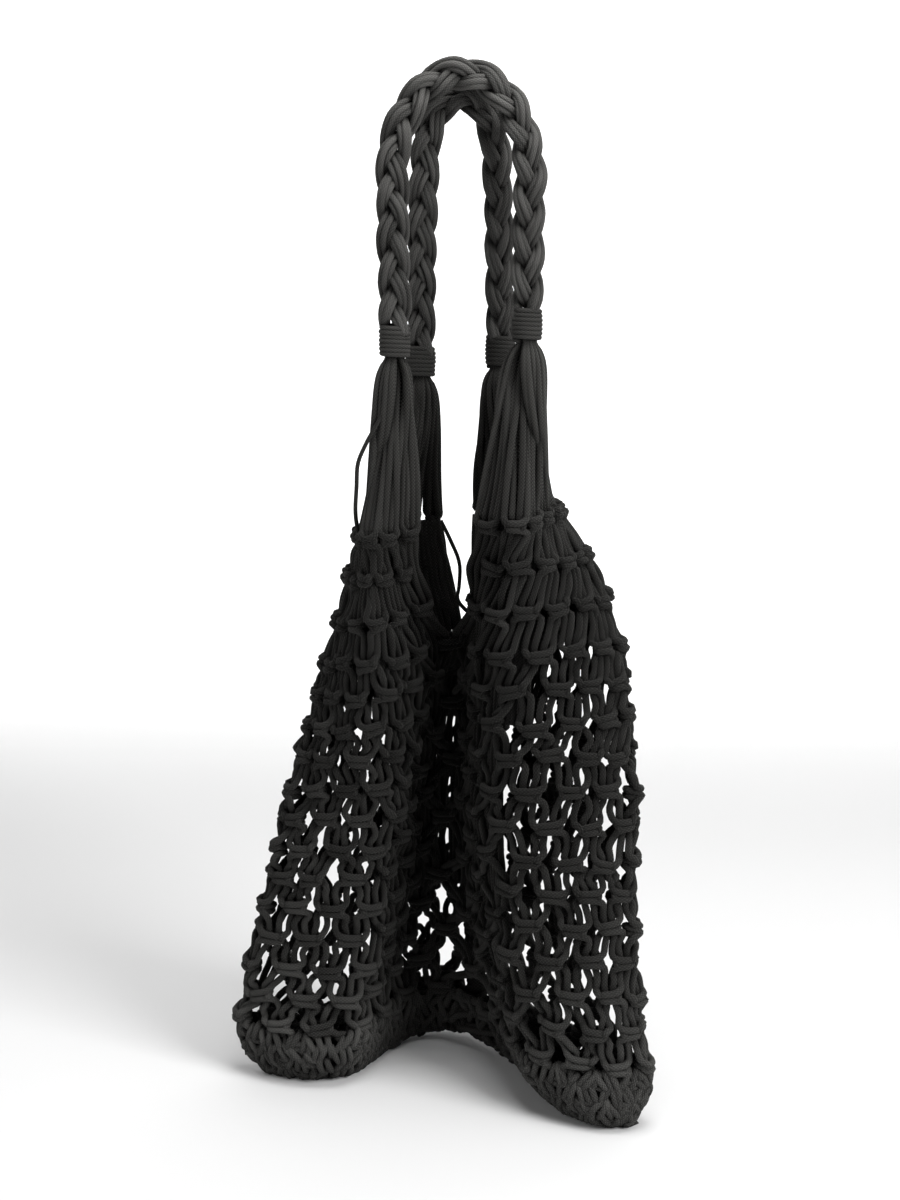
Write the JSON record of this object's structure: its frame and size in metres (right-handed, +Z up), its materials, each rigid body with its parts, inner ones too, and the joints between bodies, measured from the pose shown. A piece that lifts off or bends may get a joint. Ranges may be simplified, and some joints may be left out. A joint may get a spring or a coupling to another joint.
{
  "type": "macrame cord bag",
  "caption": "Open-net shopping bag knotted from soft black cotton cord, hung by two plaited handles, its wings resting on the floor.",
  "frame": {"origin": "the hang point, under the top of the back handle, where a hook or hand carries the bag", "axes": "+Z up, +X to the right seen from the front, +Y towards the back; the two wings come forward along -Y"},
  "size_m": [0.2624, 0.1782, 0.6508],
  "materials": {
    "net_cord": "matt braided cotton cord, near black",
    "handle_cord": "matt cotton cords laid side by side in plaited strands, near black",
    "wrap_cord": "matt cotton cord wound tight, near black"
  },
  "bodies": {
    "root": {"front_handle_strand_1": "handle_cord", "front_handle_strand_2": "handle_cord", "front_handle_strand_3": "handle_cord", "front_left_wrap": "wrap_cord", "front_left_shoulder": "net_cord", "front_left_net": "net_cord", "front_right_wrap": "wrap_cord", "front_right_shoulder": "net_cord", "front_right_net": "net_cord", "back_handle_strand_1": "handle_cord", "back_handle_strand_2": "handle_cord", "back_handle_strand_3": "handle_cord", "back_left_wrap": "wrap_cord", "back_left_shoulder": "net_cord", "back_left_net": "net_cord", "back_right_wrap": "wrap_cord", "back_right_shoulder": "net_cord", "back_right_net": "net_cord", "base": "net_cord"}
  },
  "joints": []
}
